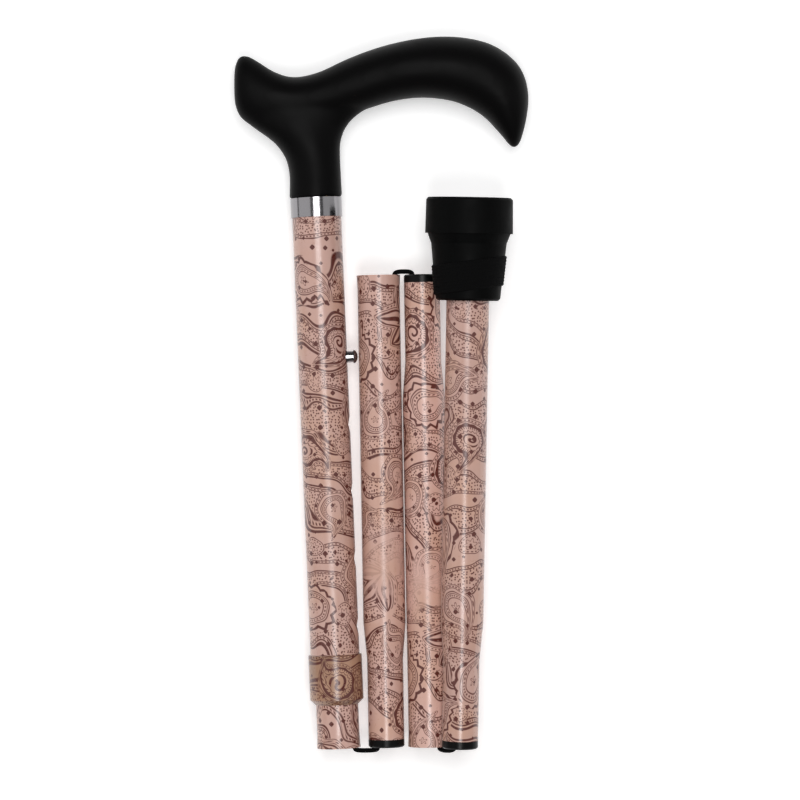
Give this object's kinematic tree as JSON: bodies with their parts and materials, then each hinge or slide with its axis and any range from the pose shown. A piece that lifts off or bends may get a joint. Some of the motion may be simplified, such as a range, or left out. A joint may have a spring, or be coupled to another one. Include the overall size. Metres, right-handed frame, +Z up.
{
  "type": "folding walking cane",
  "caption": "Folding walking cane with a derby handle, folded into a bundle: printed tubes strung on elastic cord, a sliding shaft with a snap button and lock ring, and a banded rubber ferrule.",
  "frame": {"origin": "on the floor under the middle of the folded bundle, which lies on its side", "axes": "+Y along the shaft towards the handle, +Z up from the floor, +X across the bundle from the shaft towards the ferrule"},
  "size_m": [0.1113, 0.2704, 0.05],
  "materials": {
    "handle": "satin soft-touch black",
    "dowel": "plain turned wood, hidden",
    "bright": "polished bright metal",
    "print": "glossy pink-beige coat with a maroon paisley print",
    "nylon": "natural nylon",
    "steel": "plain spring steel",
    "plug": "black moulded plastic",
    "cord": "black braided elastic cord",
    "ferrule": "black rubber",
    "band": "black woven elastic"
  },
  "bodies": {
    "handle_shaft": {"derby_handle": "handle", "handle_dowel": "dowel", "handle_collar": "bright", "upper_tube": "print", "rattle_sleeve": "nylon"},
    "lock_ring": {"locking_ring": "print"},
    "sliding_tube": {"inner_tube": "print", "button_spring": "steel", "upper_cord_anchor": "nylon", "cord_run_1": "cord", "cord_bend_1": "cord"},
    "button": {"snap_button": "bright"},
    "cord_link_1": {"cord_run_2_lower": "cord"},
    "section_2": {"section_2_tube": "print", "section_2_plug": "plug", "cord_bend_2": "cord"},
    "cord_link_2": {"cord_run_2_upper": "cord"},
    "section_3": {"section_3_tube": "print", "section_3_plug": "plug", "cord_run_3": "cord", "cord_bend_3": "cord"},
    "cord_link_3": {"cord_run_4": "cord"},
    "section_4": {"section_4_tube": "print", "section_4_plug": "plug", "lower_cord_anchor": "nylon", "cord_end": "cord", "ferrule": "ferrule", "ferrule_washer": "steel", "elastic_band": "band"}
  },
  "joints": [
    {"name": "ring_turn", "type": "hinge", "parent": "handle_shaft", "child": "lock_ring", "pos_m": [-0.01679, -0.10708, 0.01908], "axis": [-0.0419, 0.9989, -0.0199], "range_deg": [0, 180]},
    {"name": "height_slide", "type": "slide", "parent": "handle_shaft", "child": "sliding_tube", "axis": [0.0419, -0.9989, 0.0199], "range_m": [0, 0.1016], "deforming": ["snap_button"]},
    {"name": "button_press", "type": "slide", "parent": "sliding_tube", "child": "button", "axis": [-0.9991, -0.0419, 0.0008], "range_m": [0, 0.0053], "stiffness_N_per_m": 800, "deforming": ["button_spring"]},
    {"name": "fold_1", "type": "hinge", "parent": "sliding_tube", "child": "cord_link_1", "pos_m": [-0.00669, -0.13322, 0.0196], "axis": [0, -0.0199, -0.9998], "range_deg": [0, 178.6], "deforming": ["cord_bend_1"]},
    {"name": "seat_1", "type": "slide", "parent": "cord_link_1", "child": "section_2", "axis": [0.0175, -0.9996, 0.0199], "range_m": [0, 0.034], "deforming": ["cord_bend_1"]},
    {"name": "seat_2", "type": "slide", "parent": "section_2", "child": "cord_link_2", "axis": [0.0175, -0.9996, 0.0199], "range_m": [0, 0.034], "deforming": ["cord_bend_2"]},
    {"name": "fold_2", "type": "hinge", "parent": "cord_link_2", "child": "section_3", "pos_m": [0.00736, 0.04588, 0.01604], "axis": [0, 0.0199, 0.9998], "range_deg": [0, 180], "deforming": ["cord_bend_2"]},
    {"name": "fold_3", "type": "hinge", "parent": "section_3", "child": "cord_link_3", "pos_m": [0.02421, -0.13251, 0.02515], "axis": [0.707, -0.0017, -0.7072], "range_deg": [0, 177.18], "deforming": ["cord_bend_3"]},
    {"name": "seat_3", "type": "slide", "parent": "cord_link_3", "child": "section_4", "axis": [-0.0173, -0.9997, -0.0148], "range_m": [0, 0.034], "deforming": ["cord_bend_3"]}
  ],
  "couplings": [
    {"joint": "fold_2", "follows": "fold_1", "ratio": 1.0078},
    {"joint": "fold_3", "follows": "fold_1", "ratio": 0.992}
  ]
}
